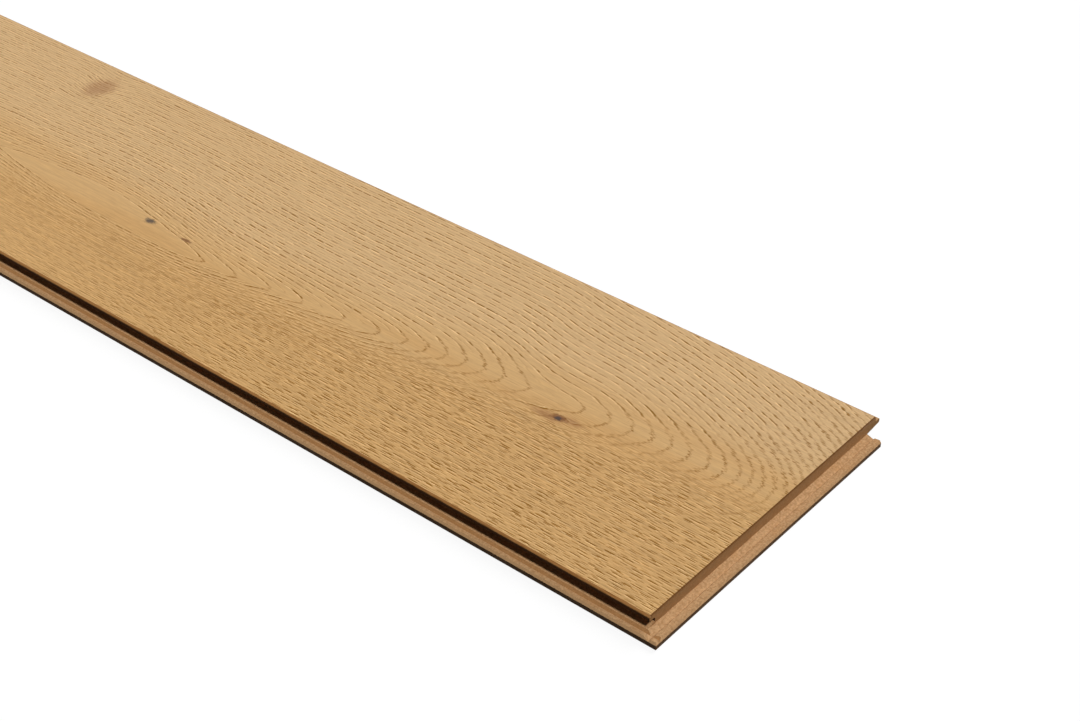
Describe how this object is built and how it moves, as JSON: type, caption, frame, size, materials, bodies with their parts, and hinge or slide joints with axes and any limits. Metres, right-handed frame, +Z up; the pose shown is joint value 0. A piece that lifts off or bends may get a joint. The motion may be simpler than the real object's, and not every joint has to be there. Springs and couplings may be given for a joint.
{
  "type": "engineered floorboard",
  "caption": "Engineered oak floorboard: brushed oak face on a fibreboard core with a backing veneer, bevelled face edges, and tongue, groove and locking lips milled round it.",
  "frame": {"origin": "on the underside, below the middle of the face as measured between the joint planes", "axes": "+X along the board towards the end with the lower lip, +Y across it towards the tongue, +Z up through the oak face"},
  "size_m": [1.2073, 0.1737, 0.0095],
  "materials": {
    "oak_face": "brushed oak, matt lacquer",
    "fibreboard": "raw milled fibreboard",
    "backing": "dark brown sawn veneer"
  },
  "bodies": {
    "root": {"oak_wear_layer": "oak_face", "fibreboard_core": "fibreboard", "backing_veneer": "backing"}
  },
  "joints": []
}
